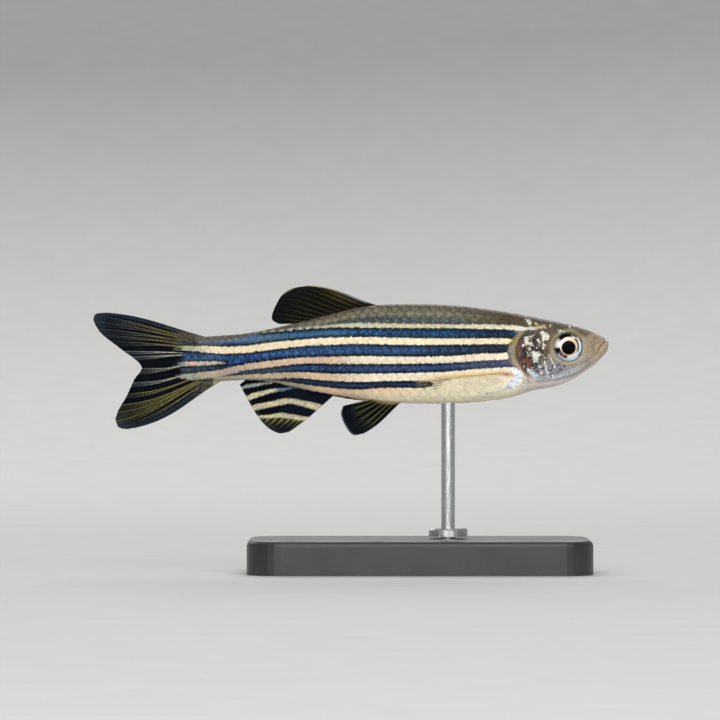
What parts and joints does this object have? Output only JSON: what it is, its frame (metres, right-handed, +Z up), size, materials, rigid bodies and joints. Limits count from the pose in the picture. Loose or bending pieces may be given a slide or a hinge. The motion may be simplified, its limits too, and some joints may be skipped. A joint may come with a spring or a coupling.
{
  "type": "zebra danio",
  "caption": "Life-size still zebra danio, dark blue stripes on cream flanks, held over a flat base by a slim upright rod.",
  "frame": {"origin": "middle of the whole model seen from above, on the surface that the base rests on", "axes": "+X towards the snout, +Y towards the left side of the fish, +Z up"},
  "size_m": [0.045, 0.014, 0.0251],
  "materials": {
    "skin": "wet, silvery scaled skin with dark blue and cream stripes",
    "gill_cover": "wet skin over bone, brown and silver",
    "eye": "clear and shiny, silver iris with a black pupil",
    "dark_fin": "thin ribbed skin, blue-black with yellowish rays",
    "clear_fin": "thin ribbed skin, nearly clear",
    "stand_base": "satin",
    "stand_rod": "satin"
  },
  "bodies": {
    "root": {"head": "skin", "lower_jaw": "skin", "gill_cover_right": "gill_cover", "gill_cover_left": "gill_cover", "eye_right": "eye", "eye_left": "eye", "trunk": "skin", "tail": "skin", "dorsal_fin": "dark_fin", "anal_fin": "dark_fin", "caudal_fin": "dark_fin", "pelvic_fin_right": "dark_fin", "pelvic_fin_left": "dark_fin", "pectoral_fin_right": "clear_fin", "pectoral_fin_left": "clear_fin", "upper_barbel_right": "skin", "upper_barbel_left": "skin", "lower_barbel_right": "skin", "lower_barbel_left": "skin", "stand_base": "stand_base", "stand_rod": "stand_rod"}
  },
  "joints": []
}
